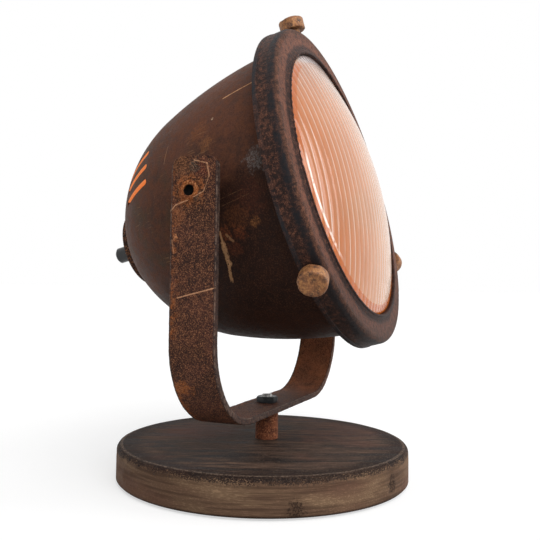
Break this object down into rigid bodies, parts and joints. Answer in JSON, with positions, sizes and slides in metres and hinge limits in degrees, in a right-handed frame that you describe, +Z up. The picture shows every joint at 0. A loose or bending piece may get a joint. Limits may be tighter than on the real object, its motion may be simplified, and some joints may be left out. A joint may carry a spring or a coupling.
{
  "type": "tabletop searchlight lamp",
  "caption": "Small searchlight for a table: a deep metal bowl with a fluted glass front tilts in a U-shaped yoke that swivels on a short post over a round wooden base.",
  "frame": {"origin": "middle of the round base's underside, on the table", "axes": "+Z up, the light points along -Y and a little up, the tilt axis runs along X"},
  "size_m": [0.2296, 0.2285, 0.3213],
  "materials": {
    "stained_wood": "dark stained, waxed",
    "felt": "felt",
    "zinc_steel": "dull zinc",
    "black_steel": "blackened",
    "rusty_post": "rusted",
    "rusty_bar": "rusted, speckled",
    "bronze": "plain",
    "patina_bowl": "dark patina",
    "patina_ring": "rust and dark patina",
    "aged_copper": "blotchy antique copper",
    "black_plastic": "semi gloss",
    "phenolic": "moulded",
    "brass_contact": "plain",
    "fluted_glass": "clear, fluted inside",
    "clear_glass": "clear",
    "grey_rubber": "matt",
    "nickel_cap": "plain",
    "lit_wire": "glowing"
  },
  "bodies": {
    "stand": {"wooden_base": "stained_wood", "base_pad": "felt", "clamp_rod": "zinc_steel", "foot_washer": "zinc_steel", "foot_nut": "zinc_steel", "post_tube": "rusty_post", "slip_washer": "black_steel", "top_nut": "black_steel"},
    "yoke": {"yoke_bar": "rusty_bar", "swivel_bush": "bronze"},
    "head": {"bowl_shell": "patina_bowl", "rear_cap": "patina_bowl", "holder_stem": "zinc_steel", "stem_nut": "zinc_steel", "cord_gland": "black_plastic", "earth_screw": "brass_contact", "lampholder": "phenolic", "thread_shell": "brass_contact", "holder_contact": "brass_contact", "front_ring": "patina_ring", "clamp_bosses": "zinc_steel", "lens_gasket": "grey_rubber", "glass_lens": "fluted_glass", "lens_clips": "zinc_steel", "tilt_washers": "zinc_steel", "pivot_screws": "rusty_bar", "pivot_spacers": "rusty_bar", "pivot_doublers": "zinc_steel", "pivot_nuts": "zinc_steel"},
    "bulb": {"bulb_cap": "nickel_cap", "bulb_glass": "clear_glass", "bulb_stem": "clear_glass", "bulb_filament": "lit_wire"},
    "screw_top": {"thumb_screw_top": "aged_copper"},
    "screw_near": {"thumb_screw_near": "aged_copper"},
    "screw_far": {"thumb_screw_far": "aged_copper"}
  },
  "joints": [
    {"name": "yoke_swivel", "type": "hinge", "parent": "stand", "child": "yoke", "pos_m": [0.007, 0, 0.0453], "axis": [0, 0, 1], "range_deg": [-175, 175]},
    {"name": "head_tilt", "type": "hinge", "parent": "yoke", "child": "head", "pos_m": [0.007, 0.003, 0.1865], "axis": [-1, 0, 0], "range_deg": [-35, 45]},
    {"name": "screw_top_turn", "type": "hinge", "parent": "head", "child": "screw_top", "pos_m": [-0.00262, -0.02027, 0.31138], "axis": [-0.0837, 0.2579, 0.9625], "continuous": true},
    {"name": "screw_near_turn", "type": "hinge", "parent": "head", "child": "screw_near", "pos_m": [-0.08743, -0.06692, 0.13729], "axis": [-0.8211, -0.1477, -0.5513], "continuous": true},
    {"name": "screw_far_turn", "type": "hinge", "parent": "head", "child": "screw_far", "pos_m": [0.11106, -0.06261, 0.15339], "axis": [0.9048, -0.1102, -0.4113], "continuous": true},
    {"name": "bulb_turn", "type": "hinge", "parent": "head", "child": "bulb", "pos_m": [0.007, 0.06096, 0.17097], "axis": [0, -0.9659, 0.2588], "continuous": true}
  ]
}
